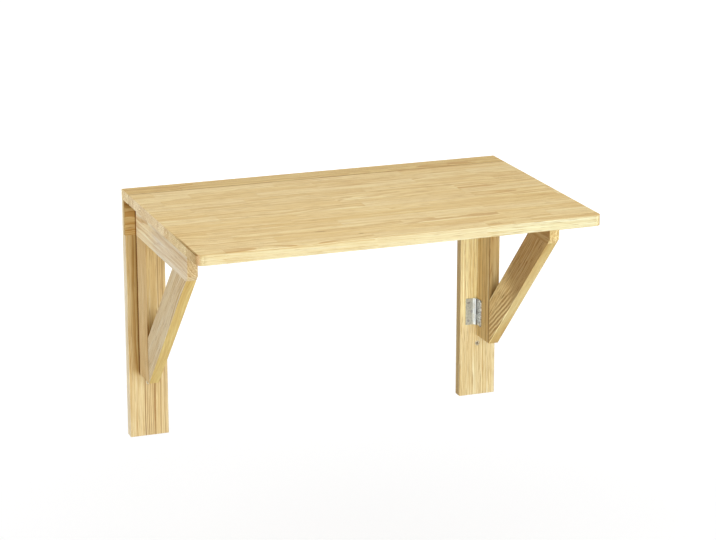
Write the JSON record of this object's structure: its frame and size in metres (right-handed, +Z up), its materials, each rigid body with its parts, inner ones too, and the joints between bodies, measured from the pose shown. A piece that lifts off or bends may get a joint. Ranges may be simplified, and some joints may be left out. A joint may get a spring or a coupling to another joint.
{
  "type": "wall mounted drop leaf table",
  "caption": "Pine table that hangs on a wall: a fixed strip with a hinged leaf, carried by two triangular brackets that swing out on butt hinges from upright planks.",
  "frame": {"origin": "centre of the four wall screw holes, on the plane of the wall", "axes": "+X along the wall, +Y into the wall, +Z up; the table reaches into the room along -Y"},
  "size_m": [0.7, 0.45, 0.45],
  "materials": {
    "pine_top": "clear satin oil over edge-glued pine staves",
    "pine_board": "clear satin oil over planed pine",
    "beech_dowel": "plain turned beech",
    "zinc_plate": "bright zinc plate",
    "zinc_screw": "bright zinc plate",
    "steel_pin": "plain drawn steel"
  },
  "bodies": {
    "wall_frame": {"fixed_strip": "pine_top", "leaf_hinge_left_pin": "steel_pin", "leaf_hinge_left_strip_leaf": "zinc_plate", "leaf_hinge_middle_pin": "steel_pin", "leaf_hinge_middle_strip_leaf": "zinc_plate", "leaf_hinge_right_pin": "steel_pin", "leaf_hinge_right_strip_leaf": "zinc_plate", "left_lower_hinge_pin": "steel_pin", "left_lower_hinge_plank_leaf": "zinc_plate", "left_plank_hinge_screws": "zinc_screw", "left_upper_hinge_pin": "steel_pin", "left_upper_hinge_plank_leaf": "zinc_plate", "left_wall_plank": "pine_board", "right_lower_hinge_pin": "steel_pin", "right_lower_hinge_plank_leaf": "zinc_plate", "right_plank_hinge_screws": "zinc_screw", "right_upper_hinge_pin": "steel_pin", "right_upper_hinge_plank_leaf": "zinc_plate", "right_wall_plank": "pine_board", "strip_dowels": "beech_dowel", "strip_hinge_screws": "zinc_screw", "wall_rail": "pine_board"},
    "left_bracket": {"left_bracket_arm": "pine_board", "left_bracket_brace": "pine_board", "left_bracket_dowels": "beech_dowel", "left_bracket_hinge_screws": "zinc_screw", "left_bracket_stile": "pine_board", "left_lower_hinge_bracket_leaf": "zinc_plate", "left_upper_hinge_bracket_leaf": "zinc_plate"},
    "right_bracket": {"right_bracket_arm": "pine_board", "right_bracket_brace": "pine_board", "right_bracket_dowels": "beech_dowel", "right_bracket_hinge_screws": "zinc_screw", "right_bracket_stile": "pine_board", "right_lower_hinge_bracket_leaf": "zinc_plate", "right_upper_hinge_bracket_leaf": "zinc_plate"},
    "leaf": {"drop_leaf": "pine_top", "leaf_hinge_left_moving_leaf": "zinc_plate", "leaf_hinge_middle_moving_leaf": "zinc_plate", "leaf_hinge_right_moving_leaf": "zinc_plate", "leaf_hinge_screws": "zinc_screw"}
  },
  "joints": [
    {"name": "left_bracket_swing", "type": "hinge", "parent": "wall_frame", "child": "left_bracket", "pos_m": [-0.3094, -0.0211, -0.087], "axis": [0, 0, 1], "range_deg": [0, 90]},
    {"name": "right_bracket_swing", "type": "hinge", "parent": "wall_frame", "child": "right_bracket", "pos_m": [0.3094, -0.0211, -0.087], "axis": [0, 0, -1], "range_deg": [0, 90]},
    {"name": "leaf_hinge", "type": "hinge", "parent": "wall_frame", "child": "leaf", "pos_m": [0, -0.0465, 0.1849], "axis": [1, 0, 0], "range_deg": [-2.5, 0]}
  ]
}
